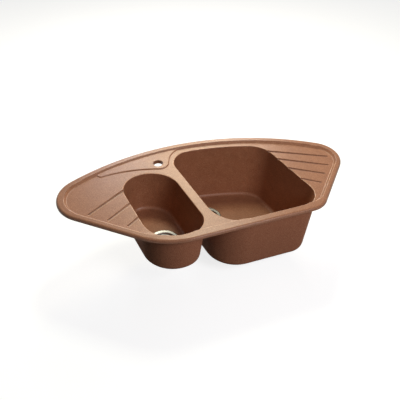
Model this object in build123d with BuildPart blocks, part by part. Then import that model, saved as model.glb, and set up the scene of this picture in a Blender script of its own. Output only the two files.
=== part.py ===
from build123d import *
from math import atan2, degrees, pi, radians, tan
import os

# Corner kitchen sink with a bowl and a half bowl, cast in one piece of stone composite,
# with a basket strainer waste clamped through the floor of each bowl.
# Origin: the tap hole's axis at the level of the worktop. X runs along the long side,
# Y points away from the user into the corner of the room, Z is up.
# Lengths are in millimetres, angles in degrees counted from +X.

# ---------------------------------------------------------------- plan of the rim
rear_radius = 935.5  # the whole rear edge is one arc
tap_setback = 87.3  # tap hole axis in from the rear edge
tap_bearing = 115.0  # direction of the arc's radius through the tap hole
nose_across = 50.8  # corner of the two front edges, to the right of the tap hole
nose_forward = 447.4  # and in front of it
left_edge_angle = 157.7
front_edge_angle = 20.0
front_edge_length = 572.6  # from the nose corner to the right front corner
right_edge_angle = 68.8
tip_radius = 122.4
nose_radius = 262.0
front_corner_radius = 84.4
rear_corner_radius = 106.4

# ---------------------------------------------------------------- section of the rim and deck
rim_height = 12.0  # top of the rim above the worktop
rim_round = 9.0
rim_flat = 18.0  # outer edge to the start of the inner slope
rim_slope = 8.0  # width of the inner slope
front_rim_flat = 34.0  # the same along the front edge, where the mouths are cut into the rim
left_rim_flat = 22.0  # along the left edge
rear_rim_flat = 23.5  # and along the rear edge
seat_width = 18.0  # underside that rests on the worktop
deck_height = 3.0
deck_thickness = 10.0
ledge_step = 3.5  # tap ledge above the deck
ledge_gap = 17.5  # between the ledge and the big mouth
ledge_front = 34.0  # tap hole axis to the ledge's front edge
ledge_front_radius = 445.0  # of that edge, which bends round the small bowl
ledge_left_reach = 222.0  # tap hole axis to the ledge's left end
ledge_end_radius = 15.0
ledge_inner_radius = 38.0
ledge_outer_radius = 90.0
ledge_run_out = 50.0  # direction in which the ledge dies into the rear rim
foot_round = 4.0
rim_edge_round = 3.0  # inner edge of the flat top
tip_inner_radius = 105.0  # of the same edge, at the left end
mouth_round = 3.0

# ---------------------------------------------------------------- bowls
wall = 8.0
floor_thickness = 12.5
draft = 4.7
lean = 3.3  # the bowls lean by this angle as they go down
lean_angle = 199.4  # direction in which they lean
floor_round = 15.0  # inside radius between wall and floor

big_depth = 219.5  # worktop level to the floor
front_band = 29.5  # front edge of the rim to the big bowl's mouth
rear_band = 47.5
big_front_start = 209.0  # nose corner to the mouth's left corner, along the front edge
big_right_shift = 28.9  # mouth's right corner past the rim's right front corner
bridge_angle = 117.3  # direction of the bridge between the bowls
big_right_angle = 121.2
big_rear_left_radius = 72.9
big_front_left_radius = 130.2
big_front_right_radius = 80.4
big_rear_right_radius = 102.4

small_depth = 150.5
bridge_width = 34.0
small_front_setback = 5.5  # nose corner to the line of the small mouth's front end
small_front_angle = 35.2
tap_to_small = 44.4  # tap hole axis to the line of the small mouth's rear end
small_rear_angle = 15.85
small_rear_length = 197.6
small_left_angle = 115.7
small_rear_left_radius = 85.4
small_front_left_radius = 118.2
small_front_right_radius = 80.1
small_rear_right_radius = 113.7

# ---------------------------------------------------------------- drainer grooves
groove_end_gap = 44.6  # groove ends in from the rim's outline
right_groove_count = 4
right_groove_first = 135.0  # right front corner to the first groove's end
right_groove_pitch = 56.2
right_groove_angle = 162.2
right_groove_fan = 3.1  # each groove turned against the one before it
right_groove_width = 9.0
right_groove_depth = 2.6
left_groove_count = 3
left_groove_first = 160.6  # nose corner to the first groove's end
left_groove_pitch = 75.4
left_groove_angle = 54.8
left_groove_fan = -1.9
left_groove_width = 12.0
left_groove_depth = 3.0
groove_fall = 0.01  # deeper towards the bowl, per length

# ---------------------------------------------------------------- tap hole and drain holes
tap_hole_radius = 17.5
tap_hole_round = 2.5
drain_from_left = 90.0  # drain axis to the mouth's left side
big_drain_from_front = 290.5  # along that side from the mouth's front left corner
small_drain_from_front = 180.4
drain_gap = 3.0  # between the strainer's cup and the drain hole
drain_recess_depth = 1.5
drain_recess_gap = 1.0  # recess beyond the strainer's flange

# ---------------------------------------------------------------- basket strainer wastes
steel = 1.0  # sheet thickness of the cup
flange_crown = 2.0  # above the bowl's floor
flange_edge_round = 1.8
cup_radius = 41.0  # inside
cup_depth = 30.0  # bowl's floor to the cup's seat
cup_bend = 4.0
dish_radius = 21.0  # slotted dish inside the seat
dish_drop = 4.0
dish_bend = 1.0
dish_slots = 10
dish_slot_reach = 13.5
dish_slot_width = 3.6
dish_slot_length = 9.0

seal_gap = 1.5  # drain hole to the seals
flange_seal_width = 9.5
flange_seal_thickness = 1.2
body_seal_width = 7.5
body_seal_thickness = 3.0

body_rim_height = 6.0
body_wall = 3.0
body_clearance = 1.5  # between the cup and the waste body
body_cone_height = 14.0
body_ribs = 12
body_rib_width = 2.4
outlet_radius = 23.9  # 1 1/2 inch pipe thread
outlet_wall = 4.0
outlet_length = 26.0
outlet_chamfer = 1.0
hub_radius = 9.0
hub_height = 16.0
hub_gap = 3.0  # below the cup's dish
spoke_count = 4
spoke_width = 4.0

screw_radius = 3.0
screw_head_radius = 7.0
screw_head_height = 4.0
screw_head_round = 1.0
screw_socket_radius = 3.2
screw_socket_depth = 3.0
insert_radius = 5.0
fit_clearance = 0.05  # round the screw, its insert and the spindle

lift_clearance = 0.3  # at rest, between the basket's pieces and what they stand on
basket_sheet = 0.6
basket_gap = 1.4  # between the basket's lip and the cup
basket_top = 4.0  # bowl's floor to the basket's lip
basket_height = 18.0
basket_lip_width = 2.4
basket_lip_height = 2.0
basket_lip_round = 0.9
basket_foot_inset = 6.6  # lip to the foot of the wall
basket_bend = 3.0
hole_radius = 1.8
hole_spacing = 11.0  # along each ring of holes
hole_ring_count = 3
hole_ring_first = 14.0
hole_ring_pitch = 6.5
stopper_overlap = 3.0  # on the seat, round the dish
stopper_thickness = 4.0
stopper_round = 1.2
stopper_boss_radius = 11.0
spindle_radius = 2.5
spindle_head_radius = 6.0
spindle_head_height = 1.5
spindle_tip = 2.5  # length that finds the screw's socket
spindle_tip_chamfer = 0.8
spindle_grip = 9.0  # length held in the knob
knob_foot_radius = 10.0
knob_foot_height = 1.2
knob_waist_radius = 5.5
knob_radius = 9.0
knob_height = 15.0
knob_round = 1.5


def along(angle, length):
    """Vector of a length in a direction of the plan."""
    return Vector(length, 0).rotate(Axis.Z, angle)


def crossing(p, p_angle, q, q_angle):
    """Point where the line through p meets the line through q."""
    p_dir = along(p_angle, 1)
    q_dir = along(q_angle, 1)
    return p + p_dir * ((q - p).cross(q_dir).Z / p_dir.cross(q_dir).Z)


def round_corner(sketch, point, radius):
    """Round the corner nearest to a point, by no more than its two sides leave room for."""
    corner = sketch.vertices().sort_by_distance(point)[0]
    sides = sketch.edges().sort_by_distance(corner)[:2]
    reach = [Vector(side.vertices().sort_by_distance(corner)[-1]) - Vector(corner) for side in sides]
    opening = reach[0].get_angle(reach[1])
    most = 0.99 * min(side.length for side in reach) * tan(radians(opening / 2))
    fillet(corner, min(radius, most))


# Corners of the rim, before rounding
rear_centre = along(tap_bearing, tap_setback - rear_radius)
nose = Vector(nose_across, -nose_forward)
front_corner = nose + along(front_edge_angle, front_edge_length)
far = 2 * rear_radius

with BuildSketch() as rim_plan:
    with BuildLine():
        right_far = front_corner + along(right_edge_angle, far)
        left_far = nose + along(left_edge_angle, far)
        Polyline(nose, front_corner, right_far, (left_far.X, right_far.Y), left_far, close=True)
    make_face()
    with Locations(rear_centre):
        Circle(rear_radius, mode=Mode.INTERSECT)
    round_corner(rim_plan, nose, nose_radius)
    round_corner(rim_plan, front_corner, front_corner_radius)
    round_corner(rim_plan, left_far, tip_radius)
    round_corner(rim_plan, right_far, rear_corner_radius)


def mouth_sketch(corners, radii):
    """Mouth of a bowl: four sides and their rounded corners."""
    with BuildSketch() as mouth:
        with BuildLine():
            Polyline(*corners, close=True)
        make_face()
        for corner, radius in zip(corners, radii):
            round_corner(mouth, corner, radius)
    return mouth.sketch


# Corners of the big mouth, whose rear side is an arc parallel to the rim's
big_front_left = nose + along(front_edge_angle, big_front_start) + along(front_edge_angle + 90, front_band)
big_front_right = (
    front_corner + along(front_edge_angle, big_right_shift) + along(front_edge_angle + 90, front_band)
)
with BuildSketch() as big_plan:
    with BuildLine():
        Polyline(
            big_front_left,
            big_front_right,
            big_front_right + along(big_right_angle, big_depth * 3),
            big_front_left + along(bridge_angle, big_depth * 3),
            close=True,
        )
    make_face()
    with Locations(rear_centre):
        Circle(rear_radius - rear_band, mode=Mode.INTERSECT)
    big_rear_left, big_rear_right = big_plan.vertices().sort_by(Axis.Y)[-2:].sort_by(Axis.X)
    round_corner(big_plan, big_front_left, big_front_left_radius)
    round_corner(big_plan, big_front_right, big_front_right_radius)
    round_corner(big_plan, big_rear_right, big_rear_right_radius)
    round_corner(big_plan, big_rear_left, big_rear_left_radius)

# Corners of the small mouth
bridge_line = big_front_left + along(bridge_angle + 90, bridge_width)
small_front_line = nose + along(small_front_angle + 90, small_front_setback)
small_rear_line = along(small_rear_angle - 90, tap_to_small)
small_front_right = crossing(bridge_line, bridge_angle, small_front_line, small_front_angle)
small_rear_right = crossing(bridge_line, bridge_angle, small_rear_line, small_rear_angle)
small_rear_left = small_rear_right - along(small_rear_angle, small_rear_length)
small_front_left = crossing(small_rear_left, small_left_angle, small_front_line, small_front_angle)
small_mouth = mouth_sketch(
    (small_front_left, small_front_right, small_rear_right, small_rear_left),
    (small_front_left_radius, small_front_right_radius, small_rear_right_radius, small_rear_left_radius),
)


# ---------------------------------------------------------------- sink body
slope_angle = degrees(atan2(rim_slope, rim_height - deck_height))
slab_bottom = deck_height - deck_thickness
ledge_height = deck_height + ledge_step


def ledge_plan():
    """Raised ledge round the tap hole, in front of the rear rim."""
    ledge_right = big_plan.sketch.bounding_box().min.X - ledge_gap
    rear_right = Vector(ledge_right, Vector(big_rear_left).Y)
    run_out = rear_right + along(ledge_run_out, far)
    front_centre = Vector(0, -ledge_front - ledge_front_radius)
    with BuildSketch() as ledge:
        with BuildLine():
            Polyline(
                (-ledge_left_reach, front_centre.Y),
                (ledge_right, front_centre.Y),
                rear_right,
                run_out,
                (-ledge_left_reach, run_out.Y),
                close=True,
            )
        make_face()
        with Locations(front_centre):
            Circle(ledge_front_radius, mode=Mode.SUBTRACT)
        front_left, front_right = ledge.vertices().sort_by(Axis.Y)[:2].sort_by(Axis.X)
        round_corner(ledge, front_left, ledge_end_radius)
        round_corner(ledge, front_right, ledge_inner_radius)
        round_corner(ledge, rear_right, ledge_outer_radius)
    return ledge.sketch


def bowl(mouth, depth, grow):
    """Solid with a bowl's walls and floor, grown outwards; its top is level with the rim."""
    height = rim_height + depth
    with BuildPart() as solid:
        with BuildSketch(Plane.XY.offset(rim_height)):
            add(mouth)
            if grow:
                offset(amount=grow, kind=Kind.ARC)
        with BuildSketch(Plane.XY.offset(-depth)):
            with Locations(along(lean_angle, height * tan(radians(lean)))):
                add(mouth)
            offset(amount=grow - height * tan(radians(draft)), kind=Kind.ARC)
        loft(ruled=True)
        fillet(solid.faces().sort_by(Axis.Z)[0].edges(), floor_round + grow)
    return solid.part


def inner_plan():
    """Inner edge of the rim's flat top."""
    left_line = nose + along(left_edge_angle - 90, left_rim_flat)
    front_line = nose + along(front_edge_angle + 90, front_rim_flat)
    right_line = front_corner + along(right_edge_angle + 90, rim_flat)
    inner_nose = crossing(left_line, left_edge_angle, front_line, front_edge_angle)
    inner_corner = crossing(front_line, front_edge_angle, right_line, right_edge_angle)
    right_end = inner_corner + along(right_edge_angle, far)
    left_end = inner_nose + along(left_edge_angle, far)
    with BuildSketch() as inner:
        with BuildLine():
            Polyline(inner_nose, inner_corner, right_end, (left_end.X, right_end.Y), left_end, close=True)
        make_face()
        with Locations(rear_centre):
            Circle(rear_radius - rear_rim_flat, mode=Mode.INTERSECT)
        round_corner(inner, inner_nose, nose_radius - left_rim_flat)
        round_corner(inner, inner_corner, front_corner_radius - rim_flat)
        round_corner(inner, left_end, tip_inner_radius)
        round_corner(inner, right_end, rear_corner_radius - rear_rim_flat)
    return inner.sketch


def drain_point(corner, side_angle, from_front, depth):
    """Centre of a drain on the floor, placed from the mouth's left side."""
    return corner + along(side_angle, from_front) + along(side_angle - 90, drain_from_left) - Vector(0, 0, depth)


bowls = {
    "big": (big_plan.sketch, big_depth),
    "small": (small_mouth, small_depth),
}
drains = {
    "big": drain_point(big_front_left, bridge_angle, big_drain_from_front, big_depth),
    "small": drain_point(small_front_left, small_left_angle, small_drain_from_front, small_depth),
}
drain_hole_radius = cup_radius + steel + drain_gap
seal_inner_radius = drain_hole_radius + seal_gap
flange_radius = seal_inner_radius + flange_seal_width
recess_radius = flange_radius + drain_recess_gap


def groove(end, angle, mouth_corner, mouth_angle, width, depth):
    """Round-bottomed drainer groove that runs from its closed end into a bowl."""
    radius = (width**2 / 4 + depth**2) / (2 * depth)
    start = end + Vector(0, 0, deck_height + radius - depth)
    run = crossing(end, angle, mouth_corner, mouth_angle) - end
    downhill = Plane(origin=start, z_dir=run - Vector(0, 0, run.length * groove_fall))
    with BuildPart() as cutter:
        with BuildSketch(downhill):
            Circle(radius)
        extrude(amount=run.length + 2 * wall)
        with Locations(start):
            Sphere(radius)
    return cutter.part


with BuildSketch() as groove_field:
    add(rim_plan.sketch)
    offset(amount=-groove_end_gap, kind=Kind.ARC)

with BuildPart() as pocket:
    with BuildSketch(Plane.XY.offset(rim_height)):
        add(inner_plan())
    extrude(amount=deck_height - rim_height, taper=slope_angle)
    fillet(pocket.faces().sort_by(Axis.Z)[0].edges(), foot_round)
    with BuildSketch(Plane.XY.offset(deck_height)):
        add(ledge_plan())
    extrude(amount=ledge_step, taper=slope_angle, mode=Mode.SUBTRACT)

with BuildPart() as sink_body:
    # Rim, with the slab that hangs inside the worktop's cut-out
    with BuildSketch():
        add(rim_plan.sketch)
    extrude(amount=rim_height)
    fillet(sink_body.faces().sort_by(Axis.Z)[-1].edges(), rim_round)
    with BuildSketch():
        add(rim_plan.sketch)
        offset(amount=-seat_width, kind=Kind.ARC)
    extrude(amount=slab_bottom)

    # Sunken deck and raised tap ledge
    add(pocket.part, mode=Mode.SUBTRACT)
    fillet(sink_body.faces().filter_by(Axis.Z).sort_by(Axis.Z)[-1].inner_wires().edges(), rim_edge_round)

    # Bowls: the outer shells under the slab, then the hollows with rounded mouths
    for mouth, depth in bowls.values():
        shell = bowl(mouth, depth + floor_thickness, wall)
        add(split(shell, bisect_by=Plane.XY, keep=Keep.BOTTOM, mode=Mode.PRIVATE))
    for mouth, depth in bowls.values():
        add(bowl(mouth, depth, 0), mode=Mode.SUBTRACT)
        walls = sink_body.faces(Select.LAST).filter_by(lambda face: face.bounding_box().min.Z < slab_bottom)
        fillet(walls.edges().filter_by(lambda edge: edge.bounding_box().min.Z > slab_bottom), mouth_round)

    # Tap hole and drain holes
    with Locations((0, 0, ledge_height)):
        Hole(tap_hole_radius)
    fillet(sink_body.edges().filter_by(GeomType.CIRCLE).sort_by_distance((0, 0, ledge_height))[0], tap_hole_round)
    for drain in drains.values():
        with Locations(drain):
            CounterBoreHole(drain_hole_radius, recess_radius, drain_recess_depth, depth=2 * floor_thickness)

    # Drainer grooves; those on the right end at one distance from the rim's outline, its rounded corner included
    for i in range(right_groove_count):
        angle = right_groove_angle + i * right_groove_fan
        outside = front_corner + along(right_edge_angle, right_groove_first + i * right_groove_pitch)
        outside += along(right_edge_angle + 90, groove_end_gap) - along(angle, groove_end_gap)
        line = Edge.make_line(outside, outside + along(angle, big_depth)) & groove_field.sketch.face()
        end = Vector(line.vertices().sort_by_distance(outside)[0])
        cutter = groove(end, angle, big_front_right, big_right_angle, right_groove_width, right_groove_depth)
        add(cutter, mode=Mode.SUBTRACT)
    for i in range(left_groove_count):
        end = (
            nose
            + along(left_edge_angle, left_groove_first + i * left_groove_pitch)
            + along(left_edge_angle - 90, groove_end_gap)
        )
        angle = left_groove_angle + i * left_groove_fan
        cutter = groove(end, angle, small_front_left, small_left_angle, left_groove_width, left_groove_depth)
        add(cutter, mode=Mode.SUBTRACT)


# ---------------------------------------------------------------- levels in a waste
# Both bowls have the same waste. It is made about the Z axis, with Z = 0 at the bowl's floor.
flange_level = flange_seal_thickness - drain_recess_depth
seat_level = -cup_depth
dish_level = seat_level - dish_drop
body_top = -floor_thickness - body_seal_thickness
body_rim_radius = seal_inner_radius + body_seal_width
body_inner_radius = cup_radius + steel + body_clearance
body_outer_radius = body_inner_radius + body_wall
cone_top = dish_level - steel - body_clearance
cone_bottom = cone_top - body_cone_height
outlet_bore = outlet_radius - outlet_wall
outlet_end = cone_bottom - outlet_length
hub_top = dish_level - steel - hub_gap
hub_bottom = hub_top - hub_height
basket_radius = cup_radius - basket_gap
basket_foot_radius = basket_radius - basket_foot_inset
basket_floor = -basket_top - basket_height
stopper_radius = dish_radius + dish_drop / 2 + stopper_overlap
plug_level = seat_level + lift_clearance

# Pressed steel cup: turned-down flange, flat seat and slotted dish
with BuildPart() as strainer_cup:
    with BuildSketch(Plane.XZ):
        with BuildLine():
            FilletPolyline(
                (screw_radius + fit_clearance, dish_level),
                (dish_radius, dish_level),
                (dish_radius + dish_drop / 2, seat_level),
                (cup_radius, seat_level),
                (cup_radius, -cup_bend),
                (cup_radius + cup_bend, flange_crown - steel),
                (flange_radius, flange_crown),
                (flange_radius, flange_level),
                radius=(dish_bend + steel, dish_bend, cup_bend, cup_bend, cup_bend, flange_edge_round),
            )
            offset(amount=steel, side=Side.RIGHT)
        make_face()
    revolve(axis=Axis.Z)
    with BuildSketch(Plane.XY.offset(dish_level)):
        with PolarLocations(dish_slot_reach, dish_slots):
            SlotOverall(dish_slot_length, dish_slot_width)
    extrude(amount=-2 * steel, mode=Mode.SUBTRACT)

# Rubber seal in the floor's recess, under the flange
with BuildPart() as flange_seal:
    with BuildSketch(Plane.XY.offset(-drain_recess_depth)):
        Circle(flange_radius)
        Circle(seal_inner_radius, mode=Mode.SUBTRACT)
    extrude(amount=flange_seal_thickness)

# Rubber seal between the floor's underside and the waste body
with BuildPart() as body_seal:
    with BuildSketch(Plane.XY.offset(body_top)):
        Circle(body_rim_radius)
        Circle(seal_inner_radius, mode=Mode.SUBTRACT)
    extrude(amount=body_seal_thickness)

# One of the ribs that hold up the waste body's rim
with BuildPart() as body_rib:
    with BuildSketch(Plane.XZ):
        with BuildLine():
            Polyline(
                (body_rim_radius - body_wall / 2, body_top - body_rim_height),
                (body_outer_radius - body_wall / 2, cone_top),
                (body_outer_radius - body_wall / 2, body_top - body_rim_height),
                close=True,
            )
        make_face()
    extrude(amount=body_rib_width / 2, both=True)

# Moulded housing under the bowl, with ribs under its rim, a spoked hub and a pipe outlet
with BuildPart() as waste_body:
    with BuildSketch(Plane.XZ):
        with BuildLine():
            Polyline(
                (body_inner_radius, body_top),
                (body_rim_radius, body_top),
                (body_rim_radius, body_top - body_rim_height),
                (body_outer_radius, body_top - body_rim_height),
                (body_outer_radius, cone_top),
                (outlet_radius, cone_bottom),
                (outlet_radius, outlet_end),
                (outlet_bore, outlet_end),
                (outlet_bore, cone_bottom + body_wall),
                (body_inner_radius, cone_top + body_wall),
                close=True,
            )
        make_face()
    revolve(axis=Axis.Z)
    chamfer(waste_body.edges().group_by(Axis.Z)[0], outlet_chamfer)
    with PolarLocations(0, body_ribs):
        add(body_rib.part)
    with BuildSketch(Plane.XY.offset(hub_bottom)):
        Circle(hub_radius)
        with PolarLocations(0, spoke_count):
            Rectangle(outlet_radius - outlet_wall / 2, spoke_width, align=(Align.MIN, Align.CENTER))
    extrude(amount=hub_height)
    with Locations((0, 0, hub_top)):
        Hole(insert_radius + fit_clearance, hub_height)

# Hollow-headed screw that draws the waste body up against the cup
with BuildPart() as clamp_screw:
    with BuildSketch(Plane.XY.offset(dish_level)):
        Circle(screw_head_radius)
    extrude(amount=screw_head_height)
    fillet(clamp_screw.edges().sort_by(Axis.Z)[-1], screw_head_round)
    with BuildSketch(Plane.XY.offset(dish_level)):
        Circle(screw_radius)
    extrude(amount=hub_bottom - dish_level)
    with Locations((0, 0, dish_level + screw_head_height)):
        Hole(screw_socket_radius, screw_socket_depth)

# Brass insert in the hub, for the screw
with BuildPart() as screw_insert:
    with BuildSketch(Plane.XY.offset(hub_bottom)):
        Circle(insert_radius)
        Circle(screw_radius + fit_clearance, mode=Mode.SUBTRACT)
    extrude(amount=hub_height)

# Perforated basket with a turned-down lip
with BuildPart() as basket:
    with BuildSketch(Plane.XZ):
        with BuildLine():
            FilletPolyline(
                (spindle_radius + fit_clearance, basket_floor),
                (basket_foot_radius, basket_floor),
                (basket_radius - basket_lip_width, -basket_top),
                (basket_radius, -basket_top),
                (basket_radius, -basket_top - basket_lip_height),
                radius=(basket_bend, basket_lip_round, basket_lip_round),
            )
            offset(amount=basket_sheet, side=Side.RIGHT)
        make_face()
    revolve(axis=Axis.Z)
    with BuildSketch(Plane.XY.offset(basket_floor)):
        for i in range(hole_ring_count):
            ring_radius = hole_ring_first + i * hole_ring_pitch
            with PolarLocations(ring_radius, int(2 * pi * ring_radius / hole_spacing)):
                Circle(hole_radius)
    extrude(amount=-2 * basket_sheet, mode=Mode.SUBTRACT)
    with Locations((0, 0, basket_floor + basket_height / 2)):
        with PolarLocations(basket_foot_radius, int(2 * pi * basket_foot_radius / hole_spacing)):
            Cylinder(
                hole_radius,
                basket_radius - basket_foot_radius,
                rotation=(0, 90, 0),
                align=(Align.CENTER, Align.CENTER, Align.MIN),
                mode=Mode.SUBTRACT,
            )

# Turned knob that lifts the basket
with BuildPart() as basket_knob:
    with BuildSketch(Plane.XZ):
        with BuildLine():
            side = Spline(
                (knob_foot_radius, basket_floor + knob_foot_height),
                (knob_waist_radius, basket_floor + knob_height / 2),
                (knob_radius, basket_floor + knob_height),
                tangents=((-1, 1), (1, 1)),
            )
            Polyline(
                side @ 1,
                (0, basket_floor + knob_height),
                (0, basket_floor),
                (knob_foot_radius, basket_floor),
                side @ 0,
            )
        make_face()
    revolve(axis=Axis.Z)
    fillet(basket_knob.edges().sort_by(Axis.Z)[-1], knob_round)
    with BuildSketch(Plane.XY.offset(basket_floor)):
        Circle(spindle_radius + fit_clearance)
    extrude(amount=spindle_grip, mode=Mode.SUBTRACT)

# Spindle that holds the knob, basket and stopper together
with BuildPart() as plug_spindle:
    with BuildSketch(Plane.XY.offset(plug_level)):
        Circle(spindle_head_radius)
    extrude(amount=spindle_head_height)
    with BuildSketch(Plane.XY.offset(plug_level - spindle_tip)):
        Circle(spindle_radius)
    extrude(amount=basket_floor + spindle_grip - plug_level + spindle_tip)
    chamfer(plug_spindle.edges().sort_by(Axis.Z)[0], spindle_tip_chamfer)

# Rubber stopper that closes on the cup's seat
with BuildPart() as stopper:
    with BuildSketch(Plane.XY.offset(plug_level)):
        Circle(stopper_radius)
    extrude(amount=stopper_thickness)
    fillet(stopper.edges(), stopper_round)
    with BuildSketch(Plane.XY.offset(plug_level + stopper_thickness)):
        Circle(stopper_boss_radius)
    extrude(amount=basket_floor - basket_sheet - plug_level - stopper_thickness)
    with Locations((0, 0, basket_floor)):
        Hole(spindle_radius + fit_clearance)
    with BuildSketch(Plane.XY.offset(plug_level)):
        Circle(spindle_head_radius + fit_clearance)
    extrude(amount=spindle_head_height, mode=Mode.SUBTRACT)

waste = {
    "strainer_cup": strainer_cup,
    "flange_seal": flange_seal,
    "body_seal": body_seal,
    "waste_body": waste_body,
    "clamp_screw": clamp_screw,
    "screw_insert": screw_insert,
    "basket": basket,
    "basket_knob": basket_knob,
    "plug_spindle": plug_spindle,
    "stopper": stopper,
}

# ---------------------------------------------------------------- one file for each piece
os.makedirs("parts", exist_ok=True)
sink_body.part.label = "sink_body"
export_step(sink_body.part, "parts/sink_body.step")
for bowl_name, drain in drains.items():
    for piece_name, piece in waste.items():
        placed = piece.part.moved(Location(drain))
        placed.label = f"{bowl_name}_{piece_name}"
        export_step(placed, f"parts/{placed.label}.step")
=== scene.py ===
from math import pi, radians

import bpy
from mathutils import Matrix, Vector


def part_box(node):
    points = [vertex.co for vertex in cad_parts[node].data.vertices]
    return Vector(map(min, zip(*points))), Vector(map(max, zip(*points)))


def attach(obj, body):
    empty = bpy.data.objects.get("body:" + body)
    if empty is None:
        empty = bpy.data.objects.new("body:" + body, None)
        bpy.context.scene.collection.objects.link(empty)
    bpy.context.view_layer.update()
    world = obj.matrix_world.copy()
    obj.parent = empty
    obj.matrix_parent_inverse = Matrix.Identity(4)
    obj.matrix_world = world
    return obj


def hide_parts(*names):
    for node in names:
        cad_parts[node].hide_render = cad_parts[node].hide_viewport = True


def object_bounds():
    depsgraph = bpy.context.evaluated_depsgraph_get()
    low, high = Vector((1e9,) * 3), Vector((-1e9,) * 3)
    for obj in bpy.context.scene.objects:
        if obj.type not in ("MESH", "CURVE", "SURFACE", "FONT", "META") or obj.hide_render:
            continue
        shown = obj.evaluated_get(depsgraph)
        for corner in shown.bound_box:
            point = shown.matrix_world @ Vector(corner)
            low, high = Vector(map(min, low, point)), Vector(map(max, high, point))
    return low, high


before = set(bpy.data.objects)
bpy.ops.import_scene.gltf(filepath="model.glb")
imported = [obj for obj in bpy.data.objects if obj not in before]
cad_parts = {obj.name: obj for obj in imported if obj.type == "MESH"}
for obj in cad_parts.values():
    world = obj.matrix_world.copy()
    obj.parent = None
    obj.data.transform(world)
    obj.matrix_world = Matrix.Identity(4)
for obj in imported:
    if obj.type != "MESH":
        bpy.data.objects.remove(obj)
size_of_cad = [[round(value, 5) for value in corner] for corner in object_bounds()]

# The sink itself, with its rim, sunken deck, tap ledge, two bowls and drainer grooves: one casting of crushed
# stone and resin that hangs on its rim in the worktop. Its face comes out of the mould satin smooth, with fine
# grains of stone in it, and its outer walls and underside come out rough.
casting = bpy.data.objects.new("casting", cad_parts["sink_body"].data.copy())
bpy.context.scene.collection.objects.link(casting)

# A Mix node's sockets for colours go by number.
share, first_colour, second_colour, mixed_colour = 0, 6, 7, 2


class Wire:
    """What comes out of a shader node. Arithmetic on it adds Math nodes, and feed() adds any other node."""

    def __init__(self, node, output=0):
        self.node = node
        self.socket = node.outputs[output]

    def feed(self, kind, settings=None, inputs=None, output=0):
        """A new node in the same material: its settings first, then the values or wires of its sockets."""
        tree = self.node.id_data
        node = tree.nodes.new(kind)
        for name, value in (settings or {}).items():
            setattr(node, name, value)
        for name, value in (inputs or {}).items():
            if isinstance(value, Wire):
                tree.links.new(value.socket, node.inputs[name])
            else:
                node.inputs[name].default_value = value
        return Wire(node, output)

    def between(self, first, second):
        """A colour between two others, with this wire as the share of the second."""
        first, second = (colour if isinstance(colour, Wire) else (*colour, 1) for colour in (first, second))
        return self.feed("ShaderNodeMix", {"data_type": "RGBA"}, {
            share: self, first_colour: first, second_colour: second}, output=mixed_colour)

    def maths(self, operation, first, second):
        return self.feed("ShaderNodeMath", {"operation": operation}, {0: first, 1: second})

    def __add__(self, other):
        return self.maths("ADD", self, other)

    def __mul__(self, other):
        return self.maths("MULTIPLY", self, other)

    def __gt__(self, other):
        return self.maths("GREATER_THAN", self, other)

    def __lt__(self, other):
        return self.maths("LESS_THAN", self, other)

    __radd__ = __add__
    __rmul__ = __mul__


def new_finish(name, **sockets):
    """A material, its one Principled shader with these plain values, and a wire of the piece's coordinates."""
    material = bpy.data.materials.new(name)
    material.use_nodes = True
    shader = material.node_tree.nodes["Principled BSDF"]
    for socket, value in sockets.items():
        shader.inputs[socket.replace("_", " ")].default_value = value
    place = Wire(material.node_tree.nodes.new("ShaderNodeTexCoord"), "Object")
    return material, shader, place


def connect(shader, **wires):
    """Link wires to the shader's sockets."""
    for socket, wire in wires.items():
        shader.id_data.links.new(wire.socket, shader.inputs[socket.replace("_", " ")])


def stone_finish(name, darker, paler, relief_strength, refraction, roughness, roughness_spread):
    """Stone grains in brown resin, with the roughness and relief of its side of the mould."""
    stone, shader, place = new_finish(name, IOR=refraction)
    clouds = place.feed("ShaderNodeTexNoise", inputs={
        "Vector": place, "Scale": 30.0, "Detail": 6.0, "Roughness": 0.7})
    sand = place.feed("ShaderNodeTexNoise", inputs={
        "Vector": place, "Scale": 520.0, "Detail": 4.0, "Roughness": 0.62})
    sanded = sand.feed("ShaderNodeMix", {"data_type": "RGBA", "blend_type": "OVERLAY"}, {
        share: 0.5, first_colour: clouds.between(darker, paler), second_colour: sand}, output=mixed_colour)
    grains = place.feed("ShaderNodeTexVoronoi", inputs={"Vector": place, "Scale": 850.0}, output="Color")
    grain = grains.feed("ShaderNodeSeparateColor", inputs={"Color": grains})
    pale_grains, dark_grains = (grain > 0.93) * 0.45, (grain < 0.09) * 0.5
    with_pale_grains = pale_grains.between(sanded, (0.62, 0.33, 0.19))
    with_all_grains = dark_grains.between(with_pale_grains, (0.110, 0.036, 0.018))
    relief = sand.feed("ShaderNodeBump", inputs={
        "Strength": relief_strength, "Distance": 0.0006, "Height": sand})
    connect(shader, Base_Color=with_all_grains, Roughness=roughness + sand * roughness_spread, Normal=relief)
    return stone


casting.data.materials.clear()
for stone in (
    # name, darker and paler colour of the resin (in the last three with light painted in), strength of the relief,
    # refraction, roughness and its spread
    stone_finish("satin_stone", (0.240, 0.098, 0.047), (0.400, 0.176, 0.092), 0.10, 1.36, 0.28, 0.09),
    # rough: set paler than the satin side, in part a painted light that brightens the outer walls
    stone_finish("rough_stone", (0.340, 0.134, 0.072), (0.412, 0.171, 0.094), 0.35, 1.20, 0.62, 0.20),
    # painted highlight: paler resin standing in for the light caught by tight edges and back-leaning sides
    stone_finish("painted_highlight_stone", (0.540, 0.290, 0.180), (0.620, 0.340, 0.215), 0.08, 1.36, 0.22, 0.09),
    # painted shade: darker resin standing in for the shade in grooves and inside corners that face the front
    stone_finish("shaded_stone", (0.120, 0.040, 0.018), (0.160, 0.055, 0.026), 0.12, 1.36, 0.34, 0.12),
):
    casting.data.materials.append(stone)
rough, painted_highlight, shaded = 1, 2, 3
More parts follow.
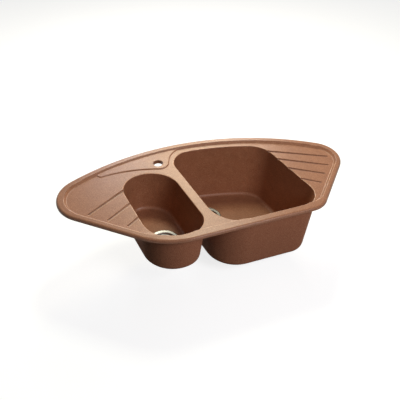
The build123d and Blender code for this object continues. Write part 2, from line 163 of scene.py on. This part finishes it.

# A face with stone straight above it is on an outer wall or the underside, and is rough. Near the top, tight
# outside edges get a painted highlight, paler and a little glossier. In the grooves and tight inside corners, a
# side that leans to the back gets the painted highlight too, and any other gets painted shade, darker. A face's
# bend, one over its radius, is how far the CAD's normals turn between two of its corners, over the distance
# between them. Radii of under 5 mm outside and 8.3 mm inside are tight.
clear_of_face = 0.0004
foot_of_top_roundings = -0.004
least_turn = 0.02
bend_of_tight_edge, bend_of_tight_corner = 200, 120
least_lean_to_back = 0.05
normals_of_cad = [normal.vector.copy() for normal in casting.data.corner_normals]
for face in casting.data.polygons:
    if casting.ray_cast(face.center + face.normal * clear_of_face, Vector((0, 0, 1)))[0]:
        face.material_index = rough
    elif face.center.z > foot_of_top_roundings:
        corners = [(normals_of_cad[k], casting.data.vertices[casting.data.loops[k].vertex_index].co)
                   for k in face.loop_indices]
        turn, step = max(
            ((first[0] - second[0], first[1] - second[1]) for first in corners for second in corners),
            key=lambda pair: pair[0].length)
        outward = turn.dot(step)
        if turn.length > least_turn and 0 < bend_of_tight_edge * outward < turn.length_squared:
            face.material_index = painted_highlight
        elif turn.length > least_turn and 0 < -bend_of_tight_corner * outward < turn.length_squared:
            face.material_index = shaded if face.normal.y < least_lean_to_back else painted_highlight

# The CAD's triangles are loose, so those of the copy are merged, and shaded smooth across its roundings.
bpy.ops.object.select_all(action="DESELECT")
bpy.context.view_layer.objects.active = casting
casting.select_set(True)
bpy.ops.object.mode_set(mode="EDIT")
bpy.ops.mesh.select_all(action="SELECT")
bpy.ops.mesh.customdata_custom_splitnormals_clear()
bpy.ops.mesh.remove_doubles(threshold=0.00001)
bpy.ops.object.mode_set(mode="OBJECT")
bpy.ops.object.shade_smooth_by_angle(angle=radians(28))
bpy.ops.object.modifier_add(type="WEIGHTED_NORMAL")
casting.modifiers[-1].keep_sharp = True
bpy.ops.object.modifier_apply(modifier=casting.modifiers[-1].name)
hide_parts("sink_body")
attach(casting, "sink")


# The two basket strainer wastes: a pressed steel cup whose flange shows in the bowl's floor, a steel basket in it,
# and a moulded white housing underneath, drawn up by one screw. Their shapes are the CAD nodes' own, and each node
# gets its finish here. The steel and brass are turned, with fine rings round the drain.
def about_drain(place, axis):
    """The piece's coordinates, counted from its drain's axis."""
    return place.feed("ShaderNodeMapping", inputs={"Vector": place, "Location": (-axis[0], -axis[1], 0)})


def turned_rings(place, axis, fineness):
    """Fine turning marks about a drain's axis."""
    centred = about_drain(place, axis)
    spoke = centred.feed("ShaderNodeVectorMath", {"operation": "MULTIPLY"}, {0: centred, 1: (1, 1, 0)})
    radius = spoke.feed("ShaderNodeVectorMath", {"operation": "LENGTH"}, {0: spoke}, output="Value")
    level = centred.feed("ShaderNodeSeparateXYZ", inputs={"Vector": centred}, output="Z")
    line = radius.feed("ShaderNodeCombineXYZ", inputs={"X": radius, "Y": level})
    return line.feed("ShaderNodeTexNoise", inputs={"Vector": line, "Scale": fineness, "Detail": 3.0})


def small_spots(place):
    """The noise of small spots, for dried water, dust and unevenness."""
    return place.feed("ShaderNodeTexNoise", inputs={"Vector": place, "Scale": 160.0, "Detail": 4.0})


def steel_finish(name, axis, roughness, tone):
    """Stainless steel with turning marks and faint dried water on it."""
    steel, shader, place = new_finish(name, Metallic=1.0)
    rings = turned_rings(place, axis, 900.0)
    dried_water = small_spots(place) > 0.56
    tint = (dried_water * 0.5).between(tone, (tone[0] * 0.86, tone[1] * 0.85, tone[2] * 0.83))
    relief = rings.feed("ShaderNodeBump", inputs={"Strength": 0.12, "Distance": 0.0003, "Height": rings})
    connect(shader, Base_Color=tint, Roughness=roughness + rings * 0.10 + dried_water * 0.06, Normal=relief)
    return steel


def rubber_finish(name, axis):
    """Black rubber, dull, with moulding rings and a bloom of dust."""
    rubber, shader, place = new_finish(name)
    rings, spots = turned_rings(place, axis, 500.0), small_spots(place)
    bloom = spots.between((0.012, 0.012, 0.013), (0.045, 0.044, 0.043))
    relief = spots.feed("ShaderNodeBump", inputs={
        "Strength": 0.25, "Distance": 0.0004, "Height": spots + rings})
    connect(shader, Base_Color=bloom, Roughness=0.55 + spots * 0.25, Normal=relief)
    return rubber


def plastic_finish(name, axis, thread_top, thread_foot):
    """White moulded plastic, a little uneven, with the outlet's thread as relief between two levels."""
    plastic, shader, place = new_finish(name, IOR=1.49)
    spots, centred = small_spots(place), about_drain(place, axis)
    across = centred.feed("ShaderNodeSeparateXYZ", inputs={"Vector": centred})
    deep, level = Wire(across.node, "Y"), Wire(across.node, "Z")
    turn = across.maths("ARCTAN2", deep, across)
    thread_pitch = 0.00231
    crest = level.maths("PINGPONG", level * (1 / thread_pitch) + turn * (1 / (2 * pi)), 0.5)
    threaded = (level < thread_top) * (level > thread_foot)
    tint = spots.between((0.76, 0.76, 0.74), (0.84, 0.84, 0.82))
    relief = spots.feed("ShaderNodeBump", inputs={
        "Strength": 0.8, "Distance": 0.0012, "Height": crest * threaded * 1.6 + spots * 0.06})
    connect(shader, Base_Color=tint, Roughness=0.34 + spots * 0.14, Normal=relief)
    return plastic


def brass_finish(name, axis):
    """Plain turned brass, dulled."""
    brass, shader, place = new_finish(name, Metallic=1.0)
    rings, spots = turned_rings(place, axis, 1200.0), small_spots(place)
    tint = spots.between((0.68, 0.45, 0.17), (0.42, 0.27, 0.10))
    relief = rings.feed("ShaderNodeBump", inputs={"Strength": 0.2, "Distance": 0.0003, "Height": rings})
    connect(shader, Base_Color=tint, Roughness=0.28 + spots * 0.2, Normal=relief)
    return brass


for bowl in ("big", "small"):
    low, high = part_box(f"{bowl}_waste_body")
    axis = ((low[0] + high[0]) / 2, (low[1] + high[1]) / 2)
    thread_top, thread_foot = low[2] + 0.025, low[2] + 0.001
    # The steel tones are set well below bare steel's, a painted shade that keeps the white background's reflection
    # down; the strainer cup's is the darkest.
    shade_painted_steel = steel_finish(f"{bowl}_shade_painted_steel", axis, 0.26, (0.25, 0.235, 0.215))
    satin_steel = steel_finish(f"{bowl}_satin_steel", axis, 0.34, (0.34, 0.33, 0.32))
    rubber = rubber_finish(f"{bowl}_rubber", axis)
    finishes = {
        "strainer_cup": shade_painted_steel,
        "basket": satin_steel,
        "basket_knob": steel_finish(f"{bowl}_bright_steel", axis, 0.30, (0.36, 0.35, 0.33)),
        "plug_spindle": satin_steel,
        "clamp_screw": satin_steel,
        "screw_insert": brass_finish(f"{bowl}_brass", axis),
        "waste_body": plastic_finish(f"{bowl}_plastic", axis, thread_top, thread_foot),
        "flange_seal": rubber,
        "body_seal": rubber,
        "stopper": rubber,
    }
    for node, finish in finishes.items():
        for material_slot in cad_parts[f"{bowl}_{node}"].material_slots:
            material_slot.material = finish


# The studio: a pale floor under a white background, four soft lamps behind and above, whose sheen lies on every
# level face, and a larger soft one in front to the right. The background is white only where it is seen or
# mirrored, so it adds next to no light.
def seen_or_mirrored(rays):
    """1 for the rays that show the background, and 0 for those that would light the sink with it."""
    return (rays + Wire(rays.node, "Is Glossy Ray") + Wire(rays.node, "Is Transmission Ray")) > 0.5


bpy.ops.object.select_all(action="DESELECT")
floor_level = size_of_cad[0][2]
bpy.ops.mesh.primitive_plane_add(size=14, location=(0, 0, floor_level))
floor = bpy.context.object
floor.name = "floor"
pale_floor, shader, place = new_finish(
    "pale_floor", Roughness=1.0, Specular_IOR_Level=0, Emission_Strength=0.8)
seen = seen_or_mirrored(place.feed("ShaderNodeLightPath", output="Is Camera Ray"))
connect(
    shader,
    Base_Color=seen.between((0.06, 0.06, 0.06), (0.4, 0.4, 0.4)),
    Emission_Color=seen.between((0, 0, 0), (1, 1, 1)))
floor.data.materials.append(pale_floor)

world = bpy.data.worlds.new("studio")
bpy.context.scene.world = world
world.use_nodes = True
seen = seen_or_mirrored(Wire(world.node_tree.nodes.new("ShaderNodeLightPath"), "Is Camera Ray"))
white = seen.between((0.01, 0.01, 0.01), (1, 1, 1))
world.node_tree.links.new(white.socket, world.node_tree.nodes["Background"].inputs["Color"])

middle_of_sink = Vector((0.12, -0.1, -0.05))
for name, lamp_place, side, power, colour in (
    ("high_lamp", (0.266, 0.940, 1.769), 0.45, 23.4, (0.98, 1, 0.80)),
    ("rear_left_lamp", (-0.381, 1.648, 1.0), 0.45, 7.4, (0.90, 0.95, 1)),
    ("rear_lamp", (0.035, 1.530, 1.272), 0.45, 11.0, (1, 0.86, 0.58)),
    ("rear_right_lamp", (0.373, 1.701, 1.0), 0.45, 9.0, (1, 0.91, 0.80)),
    ("front_lamp", (1.226, -1.418, 1.155), 0.8, 20.5, (1, 0.96, 0.99)),
):
    lamp = bpy.data.lights.new(name, "AREA")
    lamp.size, lamp.energy, lamp.color = side, power, colour
    holder = bpy.data.objects.new(name, lamp)
    holder.location = lamp_place
    holder.rotation_euler = (middle_of_sink - holder.location).to_track_quat("-Z", "Y").to_euler()
    bpy.context.scene.collection.objects.link(holder)

camera = bpy.data.objects.new("camera", bpy.data.cameras.new("camera"))
camera.data.lens = 57.6
camera.data.sensor_width = 36
camera.location = (0.1579, -1.9303, 1.4463)
camera.rotation_euler = (radians(50), 0, 0)
bpy.context.scene.collection.objects.link(camera)
bpy.context.scene.camera = camera
bpy.context.scene.view_settings.view_transform = "Standard"
